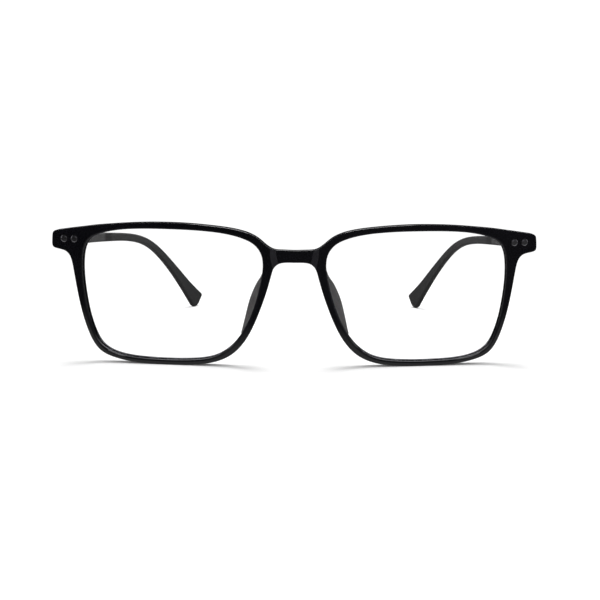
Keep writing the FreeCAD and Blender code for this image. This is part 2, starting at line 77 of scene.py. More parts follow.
PLATE_Y, PLATE_T, PLATE_H = (14.0, 26.4), 0.80, 2.5     # hinge plate in the temple
PLATE_Z = HINGE_Z - 0.15
TEMPLE_RIVET_Y = (18.8, 23.6)
BUTT_Y = 12.73                  # hinge end of the temple
TIP_R_LOW, TIP_R_HIGH = 3.5, 1.2
TEMPLE_X, TEMPLE_X_Y = 65.0, 8.0    # x of the temple's inner face at this y
TEMPLE_SLOPE = 0.048            # its drift towards the head
TEMPLE_BEND_Y, TEMPLE_BEND = 84.0, 0.00367      # and the curve that adds to it

# ---- measured shapes, mm --------------------------------------------------
# left half of the front's outline, from the bridge's top round to its underside: x, rise
OUTER = [
    (0.00, -2.59), (3.38, -2.49), (5.82, -2.23), (7.42, -1.37),
    (9.97, 0.70), (12.10, 1.89), (14.62, 2.73), (18.01, 3.40),
    (22.27, 3.91), (26.95, 4.30), (31.85, 4.55), (36.76, 4.60),
    (41.85, 4.49), (46.76, 4.21), (51.85, 3.78), (57.12, 3.22),
    (60.00, 2.80), (63.00, 2.38), (65.60, 1.98), (67.30, 1.72),
    (68.20, 1.50), (68.66, 1.14), (68.90, 0.50), (69.02, -0.40),
    (69.10, -1.50), (69.10, -2.35), (68.88, -2.98), (68.30, -3.36),
    (67.50, -3.55), (66.60, -3.72), (65.01, -4.21), (63.89, -5.29),
    (63.27, -6.98), (62.80, -9.79), (62.05, -15.26), (61.27, -19.91),
    (60.35, -23.90), (59.25, -27.40), (58.08, -30.04), (56.78, -31.91),
    (55.17, -33.24), (52.91, -34.24), (49.92, -35.01), (46.49, -35.59),
    (42.62, -35.92), (38.12, -36.03), (33.42, -35.95), (29.13, -35.67),
    (25.27, -35.19), (22.28, -34.48), (19.60, -33.40), (17.35, -31.97),
    (15.56, -30.28), (13.79, -28.02), (12.13, -25.19), (10.58, -21.85),
    (9.02, -17.85), (7.59, -13.59), (6.37, -9.26), (5.50, -7.22),
    (4.41, -6.40), (2.89, -6.03), (0.00, -5.99),
]
NASAL = OUTER[50:61]            # the stretch beside the nose
# left lens opening: x, rise
OPENING = [
    (34.81, 2.79), (40.29, 2.78), (44.91, 2.62), (48.98, 2.25),
    (52.82, 1.53), (55.77, 0.62), (57.69, -0.45), (58.92, -1.88),
    (59.70, -3.74), (60.20, -6.45), (60.37, -9.92), (60.21, -13.79),
    (59.70, -18.48), (59.02, -22.52), (58.10, -25.98), (57.00, -28.85),
    (55.77, -30.75), (54.10, -32.13), (51.91, -33.15), (49.04, -33.89),
    (45.82, -34.29), (41.42, -34.49), (35.52, -34.53), (30.68, -34.36),
    (26.60, -33.99), (23.73, -33.40), (21.29, -32.44), (19.01, -30.94),
    (16.97, -29.00), (15.13, -26.58), (13.45, -23.64), (11.96, -20.27),
    (10.66, -16.51), (9.62, -12.56), (8.91, -8.94), (8.75, -5.97),
    (9.15, -3.81), (10.09, -2.10), (11.58, -0.70), (13.61, 0.34),
    (16.53, 1.26), (20.03, 1.94), (24.08, 2.38), (29.13, 2.67),
]
# upper and lower edge of the temple seen from the side: y, z
TEMPLE_TOP = [
    (10.0, 37.93), (16.0, 37.6), (22.0, 37.18), (28.0, 36.81), (36.0, 36.41),
    (44.0, 36.1), (52.0, 35.81), (60.0, 35.51), (68.0, 35.11), (76.0, 34.55),
    (84.0, 33.71), (92.0, 32.38), (100.0, 30.14), (108.0, 26.68),
    (116.0, 22.07), (124.0, 16.67), (132.0, 10.94), (140.3, 5.03),
]
TEMPLE_BOTTOM = [
    (10.0, 32.96), (16.0, 33.24), (22.0, 33.36), (28.0, 33.37),
    (36.0, 33.28), (44.0, 33.12), (52.0, 32.93), (60.0, 32.67), (68.0, 32.3),
    (76.0, 31.73), (84.0, 30.86), (92.0, 29.37), (100.0, 26.79),
    (108.0, 22.75), (116.0, 17.23), (124.0, 10.12), (132.0, 1.3),
    (134.9, -2.11),
]
# y, thickness
TEMPLE_THICK = np.array([(8.0, 3.5), (14.0, 3.4), (24.0, 2.75), (36.0, 2.35),
                         (60.0, 2.1), (90.0, 1.85), (115.0, 1.75), (145.0, 1.75)])
# nose pad stations: rise, reach over the lens opening, reach behind the front
PAD = [(-8.4, 0.06, 0.2), (-10.2, 0.44, 1.4), (-12.2, 1.25, 2.9),
       (-14.5, 1.82, 3.9), (-17.0, 2.10, 4.4), (-19.5, 1.98, 4.2),
       (-21.8, 1.60, 3.4), (-23.7, 1.15, 2.3), (-25.2, 0.68, 1.2),
       (-26.6, 0.20, 0.4)]


# ---- curves ---------------------------------------------------------------
class Spline:
    """Cubic spline through points, run by chord length; closed, or with natural ends."""

    def __init__(self, points, closed=False):
        points = np.array(points, float)
        if closed:
            points = np.vstack([points, points[:1]])
        chords = np.linalg.norm(np.diff(points, axis=0), axis=1)
        self.knots = np.concatenate([[0], np.cumsum(chords)])
        self.gaps = np.diff(self.knots)
        count = len(points)
        size = count - 1 if closed else count
        matrix, right = np.eye(size), np.zeros((size, points.shape[1]))
        for i in range(size) if closed else range(1, count - 1):
            last, following = (i - 1) % size, (i + 1) % size
            before, after = self.gaps[i - 1], self.gaps[i]
            matrix[i, last], matrix[i, i] = before, 2 * (before + after)
            matrix[i, following] = after
            right[i] = 6 * ((points[i + 1] - points[i]) / after
                            - (points[i] - points[last]) / before)
        bend = np.linalg.solve(matrix, right)
        self.bend = np.vstack([bend, bend[:1]]) if closed else bend
        self.points = points

    def __call__(self, along):
        i = np.searchsorted(self.knots, along, side="right") - 1
        i = np.clip(i, 0, len(self.gaps) - 1)
        gap = self.gaps[i][:, None]
        left = (self.knots[i + 1] - along)[:, None]
        done = (along - self.knots[i])[:, None]
        points, bend = self.points, self.bend
        return (bend[i] * left ** 3 + bend[i + 1] * done ** 3) / (6 * gap) + \
            (points[i] / gap - bend[i] * gap / 6) * left + \
            (points[i + 1] / gap - bend[i + 1] * gap / 6) * done

    def dense(self, steps=40):
        runs = [np.linspace(start, end, steps, endpoint=False)
                for start, end in zip(self.knots, self.knots[1:])]
        return self(np.concatenate(runs + [self.knots[-1:]]))


def resample(path, count, closed=False, density=None):
    """Even points along a dense polyline; density(points) asks for closer ones."""
    lengths = np.linalg.norm(np.diff(path, axis=0), axis=1)
    if density is not None:
        lengths = lengths * density((path[1:] + path[:-1]) / 2)
    reached = np.concatenate([[0], np.cumsum(lengths)])
    wanted = np.linspace(0, reached[-1], count + 1 if closed else count)
    if closed:
        wanted = wanted[:-1]
    return np.stack([np.interp(wanted, reached, path[:, k])
                     for k in range(path.shape[1])], 1)


def closed_loop(path, count, density=None):
    """A closed path resampled and turned counter-clockwise."""
    points = resample(path, count, True, density)
    ahead = np.roll(points, -1, 0)
    area = 0.5 * np.sum(points[:, 0] * ahead[:, 1] - ahead[:, 0] * points[:, 1])
    return points[::-1].copy() if area < 0 else points


def left_normals(loop):
    """Unit normals to the left of travel: inwards for a counter-clockwise loop."""
    travel = np.roll(loop, -1, 0) - np.roll(loop, 1, 0)
    travel /= np.linalg.norm(travel, axis=1)[:, None]
    return np.stack([-travel[:, 1], travel[:, 0]], 1)


def inside(polygon, points):
    """Which points lie inside the closed polygon."""
    x, y = points[:, 0], points[:, 1]
    result = np.zeros(len(points), bool)
    for (x0, y0), (x1, y1) in zip(polygon, np.roll(polygon, -1, 0)):
        if y0 == y1:
            continue
        spans = (y0 > y) != (y1 > y)
        result ^= spans & (x < (x1 - x0) * (y - y0) / (y1 - y0) + x0)
    return result


def clear_of(points, others, distance):
    """Which points keep a distance from all the others, worked in batches."""
    batches = []
    for start in range(0, len(points), 2000):
        batch = points[start:start + 2000]
        nearest = ((batch[:, None, :] - others[None]) ** 2).sum(2).min(1)
        batches.append(nearest > distance * distance)
    return np.concatenate(batches)


def hexgrid(x0, x1, y0, y1, spacing):
    rows = []
    y = y0
    while y <= y1:
        x = np.arange(x0 + (spacing / 2 if len(rows) % 2 else 0), x1, spacing)
        rows.append(np.stack([x, np.full(len(x), y)], 1))
        y += spacing * math.sqrt(3) / 2
    return np.vstack(rows)


def rect_loop(x0, x1, y0, y1, step):
    """Points about one step apart round a rectangle."""
    wide, high = x1 - x0, y1 - y0
    columns, rows = max(1, round(wide / step)), max(1, round(high / step))
    return np.array([(x0 + wide * i / columns, y0) for i in range(columns)]
                    + [(x1, y0 + high * i / rows) for i in range(rows)]
                    + [(x1 - wide * i / columns, y1) for i in range(columns)]
                    + [(x0, y1 - high * i / rows) for i in range(rows)])


def fillet_steps(radius, steps):
    """(inset, drop) pairs from the side wall (0, radius) to the face (radius, 0)."""
    return [(radius * (1 - math.cos(turn)), radius * (1 - math.sin(turn)))
            for turn in np.linspace(0, math.pi / 2, steps + 1)]


def smoothstep(share):
    return share * share * (3 - 2 * share)


def unit(vector):
    return vector / np.linalg.norm(vector)


def turns(count, phase=0.0):
    return (np.arange(count) + phase) * 2 * math.pi / count


def around(axis, count, aside=(0.0, 0.0, 1.0), phase=0.0):
    """Unit directions square to a unit axis, all the way round it."""
    first = unit(np.cross(axis, aside))
    second = np.cross(axis, first)
    angle = turns(count, phase)[:, None]
    return np.cos(angle) * first + np.sin(angle) * second


# ---- mesh building --------------------------------------------------------
def add_object(name, data):
    ob = bpy.data.objects.new(name, data)
    bpy.context.scene.collection.objects.link(ob)
    return ob


def open_mesh(mesh):
    """A bmesh of the mesh with doubled points and slivers taken out."""
    work = bmesh.new()
    work.from_mesh(mesh)
    bmesh.ops.remove_doubles(work, verts=work.verts, dist=1e-7)
    bmesh.ops.dissolve_degenerate(work, edges=work.edges, dist=1e-8)
    return work


def close_mesh(work, mesh, sharp):
    """Writes the bmesh back, smooth except at edges over 'sharp' degrees."""
    for face in work.faces:
        face.smooth = True
        face.material_index = 0
    work.to_mesh(mesh)
    work.free()
    mesh.set_sharp_from_angle(angle=math.radians(sharp))


class Build:
    """Points and faces of one piece.  Loops are lists of point numbers; a flat loop
    pairs the loop's 2-D points with them."""

    def __init__(self):
        self.points, self.faces = [], []

    def loop(self, points):
        start = len(self.points)
        self.points.extend(tuple(map(float, point)) for point in points)
        return list(range(start, len(self.points)))

    def skin(self, loops):
        """Quads between each closed loop and the next."""
        for one, other in zip(loops, loops[1:]):
            for i in range(len(one)):
                j = (i + 1) % len(one)
                self.faces.append((one[i], one[j], other[j], other[i]))

    def fan(self, loop, point):
        centre = self.loop([point])[0]
        for i in range(len(loop)):
            self.faces.append((loop[i], loop[(i + 1) % len(loop)], centre))

    def lathe(self, base, axis, profile, count=64, **ring):
        """Closed solid round a unit axis; profile is (radius, height along the axis)."""
        spokes = around(axis, count, **ring)
        loops = [self.loop(base + spokes * radius + axis * height)
                 for radius, height in profile]
        self.skin(loops)
        self.fan(loops[0], base + axis * profile[0][1])
        self.fan(loops[-1], base + axis * profile[-1][1])

    def patch(self, outer, holes, free, place, lines=(), clear=0.25):
        """Fills flat loop 'outer', less the flat loops in 'holes', with triangles.
        Lines are 2-D polylines kept as edges; free points too near a loop are dropped.
        place(points) gives the 3-D points."""
        def within(points):
            result = inside(outer[0], points)
            for flat, _ in holes:
                result &= ~inside(flat, points)
            return result

        points, edges, numbers = [], [], []
        for flat, loop in [outer] + holes:
            start, count = len(points), len(flat)
            points.extend(map(tuple, flat))
            numbers.extend(loop)
            edges.extend((start + i, start + (i + 1) % count) for i in range(count))
        rim = np.array(points, float)
        for line in lines:
            previous = None
            for point, keep in zip(line, within(line) & clear_of(line, rim, 0.06)):
                if not keep:
                    previous = None
                    continue
                if previous is not None:
                    edges.append((previous, len(points)))
                previous = len(points)
                points.append(tuple(point))
        keep = within(free) & clear_of(free, rim, clear)
        if len(points) > len(rim):
            keep &= clear_of(free, np.array(points[len(rim):]), 0.09)
        points.extend(map(tuple, free[keep]))

        result = delaunay_2d_cdt([Vector(p) for p in points], edges, [], 0, 1e-6, True)
        flat = np.array([tuple(p) for p in result[0]], float)
        number_of, fresh = [None] * len(flat), []
        for i, sources in enumerate(result[3]):
            known = [k for k in sources if k < len(rim)]
            if known:
                number_of[i] = numbers[known[0]]
            else:
                fresh.append(i)
        for i, number in zip(fresh, self.loop(place(flat[fresh]))):
            number_of[i] = number
        triangles = np.array(result[2], int)
        for triangle in triangles[within(flat[triangles].mean(1))]:
            face = tuple(number_of[k] for k in triangle)
            if len(set(face)) == 3:
                self.faces.append(face)

    def object(self, name, mirror=False, sharp=35.0):
        mesh = bpy.data.meshes.new(name)
        points = np.array(self.points) * MM
        if mirror:
            points = points * np.array([-1.0, 1.0, 1.0])
        mesh.from_pydata(points.tolist(), [], self.faces)
        work = open_mesh(mesh)
        bmesh.ops.recalc_face_normals(work, faces=work.faces)
        if work.calc_volume(signed=True) < 0:
            bmesh.ops.reverse_faces(work, faces=work.faces)
        close_mesh(work, mesh, sharp)
        return add_object(name, mesh)


def carve(ob, tools, sharp):
    """Takes closed tool solids out of a piece, then tidies the cut mesh."""
    for tool in tools:
        cut = ob.modifiers.new("cut", "BOOLEAN")
        cut.operation, cut.solver, cut.object = "DIFFERENCE", "EXACT", tool
    bpy.context.view_layer.update()
    shape = ob.evaluated_get(bpy.context.evaluated_depsgraph_get())
    mesh = bpy.data.meshes.new_from_object(shape)
    ob.modifiers.clear()
    uncut, ob.data = ob.data, mesh
    bpy.data.meshes.remove(uncut)
    for tool in tools:
        data = tool.data
        bpy.data.objects.remove(tool)
        bpy.data.meshes.remove(data)
    work = open_mesh(mesh)
    many_sided = [face for face in work.faces if len(face.verts) > 4]
    bmesh.ops.triangulate(work, faces=many_sided, quad_method="BEAUTY", ngon_method="BEAUTY")
    close_mesh(work, mesh, sharp)
    mesh.name = ob.name
    return ob


def cutting_rod(number, base, axis, radius, length):
    build = Build()
    build.lathe(base, axis, [(radius, 0.0), (radius, length)], count=40,
                aside=(0.1, 0.2, 1.0), phase=0.37)
    return build.object("cut_%d" % number)


# ---- the front's own frame ------------------------------------------------
def depth_back(x, rise, depth):
    """How far back the layer at a depth behind the face lies."""
    return FACE_R - np.sqrt((FACE_R - depth) ** 2 - x * x - (rise - POLE_RISE) ** 2)


def to_scene(x, rise, back):
    return np.stack([x, -TILT_SIN * rise + TILT_COS * back - ORIGIN_Y,
                     TILT_COS * rise + TILT_SIN * back + FRONT_Z], -1)


def to_flat(points):
    """x and rise of scene points."""
    y, z = points[..., 1] + ORIGIN_Y, points[..., 2] - FRONT_Z
    return np.stack([points[..., 0], -TILT_SIN * -z * 0 + TILT_COS * z - TILT_SIN * y], -1) \
        if False else np.stack([points[..., 0], -TILT_SIN * y + TILT_COS * z], -1)


def front_point(flat, depth, dip=0.0):
    """Scene points at a depth behind the face, pushed back by a further dip."""
    x, rise = flat[:, 0], flat[:, 1]
    return to_scene(x, rise, depth_back(x, rise, depth) + dip)


def soft_clamp(value, blend=0.07):
    """Clamp to 0..1 with corners rounded over 'blend' to each side."""
    def hinge(x):
        return np.where(x < -blend, 0.0,
                        np.where(x > blend, x, (x + blend) ** 2 / (4 * blend)))
    return hinge(value) - hinge(value - 1)


def slope_edges(rise):
    """x where the bridge's slope ends, and where it starts."""
    return np.interp(rise, *SLOPE_INNER), np.interp(rise, *SLOPE_OUTER)


def slope_share(flat):
    """0 at the inner edge of the bridge's slope, 1 at the outer."""
    inner, outer = slope_edges(flat[:, 1])
    return (np.abs(flat[:, 0]) - inner) / (outer - inner)


def recess(flat):
    return BRIDGE_RECESS * (1 - soft_clamp(slope_share(flat)))


def above_table(points):
    points[:, 2] = np.maximum(points[:, 2], 0.0)
    return points


FACE_CENTRE = to_scene(0.0, POLE_RISE, FACE_R)

# the hinge leaf's frame: along it, square to it, and up
LEAF_ALONG = np.array([math.cos(LEAF_ANGLE), math.sin(LEAF_ANGLE), 0.0])
LEAF_OUT = np.array([-math.sin(LEAF_ANGLE), math.cos(LEAF_ANGLE), 0.0])
LEAF_UP = np.array([0.0, 0.0, 1.0])
LEAF_ORIGIN = to_scene(LEAF_X, LEAF_RISE, depth_back(LEAF_X, LEAF_RISE, 0.0) + FRONT_T)
LEAF_ORIGIN[2] = HINGE_Z


def rivet_axis(x):
    """Centre of a front rivet on the face, and the outward direction there."""
    centre = to_scene(x, FRONT_RIVET_RISE, depth_back(x, FRONT_RIVET_RISE, 0.0))
    return centre, unit(centre - FACE_CENTRE)


def sweep(build, outline, outward, section):
    """Skins (offset, depth) stations round an outline; returns the end flat loops."""
    loops = []
    for offset, depth in section:
        flat = outline + outward * offset
        loops.append((flat, build.loop(front_point(flat, depth))))
    build.skin([loop for _, loop in loops])
    return loops[0], loops[-1]


# ---- front ----------------------------------------------------------------
SKIRT = 0.07                    # flat band between a rounded edge and the filled face


def outer_wall(build):
    """The wall round the outside, both edges rounded; returns its end flat loops."""
    edge = 0.28
    whole = OUTER + [(-x, rise) for x, rise in reversed(OUTER[1:-1])]

    def density(points):
        """Closer points round the bridge and at the end pieces."""
        across = np.abs(points[:, 0])
        return 1.0 + 3.0 * (across < 9.0) * (points[:, 1] > -10.5) + 1.0 * (across > 62.0)

    outline = closed_loop(Spline(whole, True).dense(), 1500, density)
    inward = left_normals(outline)
    outline = outline + inward * 0.008      # offsets the sag of the chords

    def ring(inset, depth, dip_share):
        flat = outline + inward * inset
        dip = recess(flat) * dip_share
        return flat, build.loop(above_table(front_point(flat, depth, dip)))

    rounding = fillet_steps(edge, 6)
    loops = [ring(inset, drop, 1.0) for inset, drop in reversed(rounding)]
    loops.insert(0, ring(edge + SKIRT, 0.0, 1.0))
    loops += [ring(0.0, edge + (FRONT_T - 2 * edge) * share, 1 - share)
              for share in (0.12, 0.37, 0.63, 0.88)]
    loops += [ring(inset, FRONT_T - drop, 0.0) for inset, drop in rounding]
    loops.append(ring(edge + SKIRT, FRONT_T, 0.0))
    build.skin([loop for _, loop in loops])
    return loops[0], loops[-1]


def lens_opening(build, sign):
    """Wall of one opening: softened lips with the lens groove between them."""
    front_lip, back_lip, soft = 0.48, 0.18, 0.05
    start, end = GROOVE_BACK, GROOVE_BACK + GROOVE_W
    section = [(front_lip + SKIRT, 0.0)] + fillet_steps(front_lip, 4)[::-1]
    section += [(0.0, 0.75), (0.0, start - soft), (soft * 0.3, start - soft * 0.3),
                (soft, start), (GROOVE_DEPTH - soft, start), (GROOVE_DEPTH, start + soft),
                (GROOVE_DEPTH, end - soft), (GROOVE_DEPTH - soft, end), (soft, end),
                (soft * 0.3, end + soft * 0.3), (0.0, end + soft), (0.0, 2.6)]
    section += [(inset, FRONT_T - drop) for inset, drop in fillet_steps(back_lip, 4)]
    section += [(back_lip + SKIRT, FRONT_T)]
    outline = closed_loop(Spline(OPENING, True).dense(), 560) * np.array([sign, 1.0])
    if sign < 0:
        outline = outline[::-1].copy()
    return sweep(build, outline, -left_normals(outline), section)


def rivet_seat(build, x, flip):
    """Round seat in the face; returns its rim and the shank hole's start and axis."""
    floor, seat_r = 0.48, RIVET_R + FIT
    centre, out = rivet_axis(x)
    spokes = around(out, 48)
    rings = []
    for radius, depth in ((1.20, 0.0), (1.13, 0.0), (1.075, 0.012), (1.04, 0.045),
                          (seat_r, 0.10), (seat_r, 0.46), (1.01, floor)):
        ring = centre + spokes * radius - out * depth
        if depth == 0.0:                    # laid on the sphere
            ray = ring - FACE_CENTRE
            ring = FACE_CENTRE + ray / np.linalg.norm(ray, axis=1)[:, None] * FACE_R
        rings.append(ring)
    loops = [build.loop(ring * flip) for ring in rings]
    build.skin(loops)
    build.fan(loops[-1], (centre - out * floor) * flip)
    return (to_flat(rings[0] * flip), loops[0]), ((centre - out * 0.40) * flip, -out * flip)


def hinge_pocket(build, flip):
    """Pocket for the hinge leaf in the back of the front; returns its rim."""
    def on_leaf(flat):
        return LEAF_ORIGIN + flat[:, :1] * LEAF_ALONG + flat[:, 1:] * LEAF_UP

    sunk = (LEAF_T + FIT) * LEAF_OUT
    half_h = LEAF_H / 2 + FIT
    rect = rect_loop(-POCKET_HALF, POCKET_HALF, -half_h, half_h, 0.45)
    base = on_leaf(rect)
    # go square to the leaf to the nearer crossing with the back sphere
    ray = base - FACE_CENTRE
    slant = ray @ LEAF_OUT
    excess = (ray * ray).sum(1) - (FACE_R - FRONT_T) ** 2
    root = np.sqrt(slant * slant - excess)
    reach = np.where(np.abs(-slant - root) < np.abs(-slant + root),
                     -slant - root, -slant + root)
    rim = (base + reach[:, None] * LEAF_OUT) * flip
    rim_loop, floor_loop = build.loop(rim), build.loop((base - sunk) * flip)
    build.skin([rim_loop, floor_loop])
    build.patch((rect, floor_loop), [], hexgrid(-2.6, 2.6, -2.1, 2.1, 0.5),
                lambda flat: (on_leaf(flat) - sunk) * flip)
    return to_flat(rim), rim_loop


def slope_lines():
    """Edges that follow both borders of the bridge's slopes."""
    rise = np.arange(-9.0, -2.0, 0.18)
    inner, outer = slope_edges(rise)
    return [np.stack([sign * (inner + (outer - inner) * share), rise], 1)
            for sign in (-1, 1)
            for share in (-0.10, -0.05, 0.0, 0.05, 0.10, 0.9, 0.95, 1.0, 1.05, 1.10)]


def front_grid(coarse):
    """Free points of the face: fine over the bridge, none along the slopes' borders."""
    coarse = coarse[~((np.abs(coarse[:, 0]) < 8.0) & (coarse[:, 1] > -9.5))]
    fine = hexgrid(-8.0, 8.0, -9.5, 1.0, 0.30)
    share = slope_share(fine)
    fine = fine[(share < -0.22) | (share > 1.22) | ((share > 0.2) & (share < 0.8))]
    return np.vstack([coarse, fine])


def make_front():
    build = Build()
    front_edge, back_edge = outer_wall(build)
    front_holes, back_holes, shanks = [], [], []
    for sign in (1, -1):
        front, back = lens_opening(build, sign)
        front_holes.append(front)
        back_holes.append(back)
    for sign in (1, -1):
        flip = np.array([sign, 1.0, 1.0])
        for x in FRONT_RIVET_X:
            rim, shank = rivet_seat(build, x, flip)
            front_holes.append(rim)
            shanks.append(shank)
        back_holes.append(hinge_pocket(build, flip))
    grid = hexgrid(-70, 70, -37, 6, 0.75)
    build.patch(front_edge, front_holes, front_grid(grid),
                lambda flat: front_point(flat, 0.0, recess(flat)), slope_lines(), clear=0.22)
    build.patch(back_edge, back_holes, grid,
                lambda flat: front_point(flat, FRONT_T), clear=0.22)
    ob = build.object("front_frame_body", sharp=38)
    return carve(ob, [cutting_rod(i, start, axis, FRONT_SHANK_R + FIT, 2.25)
                      for i, (start, axis) in enumerate(shanks)], 38)


# ---- lens -----------------------------------------------------------------
def make_lens(name, mirror):
    build = Build()
    outline = closed_loop(Spline(OPENING, True).dense(), 420)
    front = GROOVE_BACK + GROOVE_W / 2 - LENS_T / 2
    back = front + LENS_T
    # the tongue round the edge stands in the groove
    start, end = GROOVE_BACK + 0.05, GROOVE_BACK + GROOVE_W - 0.05
    rim, tip = -LENS_GAP, GROOVE_DEPTH - LENS_GAP
    section = [(rim - 0.30, front), (rim - 0.10, front), (rim - 0.03, front + 0.02),
               (rim, front + 0.10), (rim, start - 0.04), (rim + 0.04, start),
               (tip - 0.25, start), (tip - 0.06, start + 0.16), (tip, (start + end) / 2),
               (tip - 0.06, end - 0.16), (tip - 0.25, end), (rim + 0.04, end),
               (rim, end + 0.04), (rim, back - 0.10), (rim - 0.03, back - 0.02),
               (rim - 0.10, back), (rim - 0.30, back)]
    ends = sweep(build, outline, -left_normals(outline), section)
    grid = hexgrid(5, 65, -37, 5, 1.5)
    for end_loop, depth in zip(ends, (front, back)):
        build.patch(end_loop, [], grid, lambda flat: front_point(flat, depth), clear=0.6)
    return build.object(name, mirror, sharp=38)


# ---- nose pad -------------------------------------------------------------
PAD_ROOT = FRONT_T + FIT        # depth at which the pad meets the front's back


def crossing_x(path, rise, pick):
    """x where a closed path crosses a height: pick chooses among the crossings."""
    here, there = path, np.roll(path, -1, 0)
    hit = ((here[:, 1] - rise) * (there[:, 1] - rise) <= 0) & (here[:, 1] != there[:, 1])
    share = (rise - here[hit, 1]) / (there[hit, 1] - here[hit, 1])
    return pick(here[hit, 0] + share * (there[hit, 0] - here[hit, 0]))


def pad_section(nasal, opening, rise, run, reach):
    """Level slice of the pad: a hooked skin, closed along the front's back."""
    nose = crossing_x(nasal, rise, np.max) + 0.35
    edge = crossing_x(opening, rise, np.min)
    lens = edge - 0.10
    back = depth_back(edge, rise, 0.0) + FRONT_T
    tip, tip_back = edge + run, back + reach
    lip = 0.40 + 0.55 * min(1.0, reach / 3.0)
    curve = Spline([(nose, back - 0.8), (nose, back + 0.05),
                    (nose + 0.35 * (tip - nose), back + 0.50 * reach),
                    (tip - 0.80 * lip, tip_back - 0.10 * lip),
                    (tip - 0.15 * lip, tip_back), (tip, tip_back - 0.45 * lip),
                    (lens + 0.50 * (tip - lens), back + 0.32 * reach),
                    (lens, back + 0.02), (lens, back - 0.8)]).dense(30)
    free = curve[:, 1] > depth_back(curve[:, 0], rise, PAD_ROOT)
    skin = curve[np.argmax(free):len(curve) - np.argmax(free[::-1])].copy()
    ends = [0, -1]
    skin[ends, 1] = depth_back(skin[ends, 0], rise, PAD_ROOT)
    skin = resample(skin, 46)
    root_x = skin[0, 0] + (skin[-1, 0] - skin[0, 0]) * np.linspace(1, 0, 12)[1:-1]
    root = np.stack([root_x, depth_back(root_x, rise, PAD_ROOT)], 1)
    section = np.vstack([skin, root])
    return to_scene(section[:, 0], np.full(len(section), rise), section[:, 1])


def make_pad(name, mirror):
    build = Build()
    nasal = Spline(NASAL).dense()
    nasal = np.vstack([nasal, nasal[:1] + [[-50, 0]]])      # closed far from the pad
    opening = Spline(OPENING, True).dense()
    stations = Spline(PAD)
    # slices crowd together towards both ends
    swing = np.cos(math.pi * np.linspace(0, 1, 64))
    along = 0.5 - 0.5 * swing * (0.6 + 0.4 * np.abs(swing) ** 0.3)
    slices = [pad_section(nasal, opening, rise, max(run, 0.06), max(reach, 0.12))
              for rise, run, reach in stations(along * stations.knots[-1])]
    loops = [build.loop(points) for points in slices]
    build.skin(loops)
    bulge = np.array([0, 0, 0.02])
    build.fan(loops[0], slices[0].mean(0) + bulge)
    build.fan(loops[-1], slices[-1].mean(0) - bulge)
    return build.object(name, mirror, sharp=50)


# ---- temple ---------------------------------------------------------------
def inner_x(y):
    bent = np.maximum(0.0, y - TEMPLE_BEND_Y)
    return TEMPLE_X - TEMPLE_SLOPE * (y - TEMPLE_X_Y) - TEMPLE_BEND * bent * bent


def thickness(y):
    return np.interp(y, TEMPLE_THICK[:, 0], TEMPLE_THICK[:, 1])


def outer_x(y):
    return float(inner_x(y) + thickness(y))


def temple_point(flat, depth):
    """Scene points for (y, z) points at a depth outwards from the inner face.
    Near the hinge y is sheared, so that the butt end lies along the leaf."""
    y, z = flat[:, 0], flat[:, 1]
    x = inner_x(y) + depth
    fall = smoothstep(np.clip(1 - (y - BUTT_Y) / 5.0, 0, 1))
    sheared = y + math.tan(LEAF_ANGLE) * (x - TEMPLE_X) * fall
    return np.stack([x, sheared - ORIGIN_Y, np.maximum(z, 0.0)], 1)


def upright_point(flat, x):
    """Scene points for (y, z) points at x, unsheared."""
    return np.stack([np.broadcast_to(x, len(flat)), flat[:, 0] - ORIGIN_Y, flat[:, 1]], 1)


def arc_corner(corner, before, after, radius, count=14):
    """Arc that rounds a corner, and how far from the corner it starts."""
    back, ahead = unit(before - corner), unit(after - corner)
    half = math.acos(np.clip(back @ ahead, -1, 1)) / 2
    reach = radius / math.tan(half)
    centre = corner + unit(back + ahead) * (radius / math.sin(half))
    start = math.atan2(*(corner + back * reach - centre)[::-1])
    end = math.atan2(*(corner + ahead * reach - centre)[::-1])
    if end - start > math.pi:
        end -= 2 * math.pi
    if end - start < -math.pi:
        end += 2 * math.pi
    angle = np.linspace(start, end, count)
    return centre + radius * np.stack([np.cos(angle), np.sin(angle)], 1), reach


def fillet_join(first, second, radius):
    """Joins polylines by an arc at the last point of the first."""
    corner = first[-1]
    before = corner - (corner - first[-2]) * 50
    after = second[0] + (second[1] - second[0]) * 50
    arc, reach = arc_corner(corner, before, after, radius)
    first, second = (line[np.linalg.norm(line - corner, axis=1) > reach]
                     for line in (first, second))
    return np.vstack([first, arc, second])


def temple_outline():
    top, bottom = Spline(TEMPLE_TOP).dense(30), Spline(TEMPLE_BOTTOM).dense(30)
    butt_top = np.array([BUTT_Y, np.interp(BUTT_Y, *top.T)])
    butt_bottom = np.array([BUTT_Y, np.interp(BUTT_Y, *bottom.T)])
    top, bottom = top[top[:, 0] > BUTT_Y], bottom[bottom[:, 0] > BUTT_Y]
    tip = np.linspace(top[-1], bottom[-1], 60)
    path = fillet_join(np.vstack([[butt_top], top]), tip[1:], TIP_R_HIGH)
    path = fillet_join(path, bottom[::-1][1:], TIP_R_LOW)[2:]
    # corners of the butt end, slightly rounded
    low = arc_corner(butt_bottom, path[-1], butt_top, 0.3, 6)[0]
    high = arc_corner(butt_top, butt_bottom, path[0], 0.3, 6)[0]
    path = path[path[:, 0] > BUTT_Y + 0.31]
    return np.vstack([path, low, high, path[:1]])


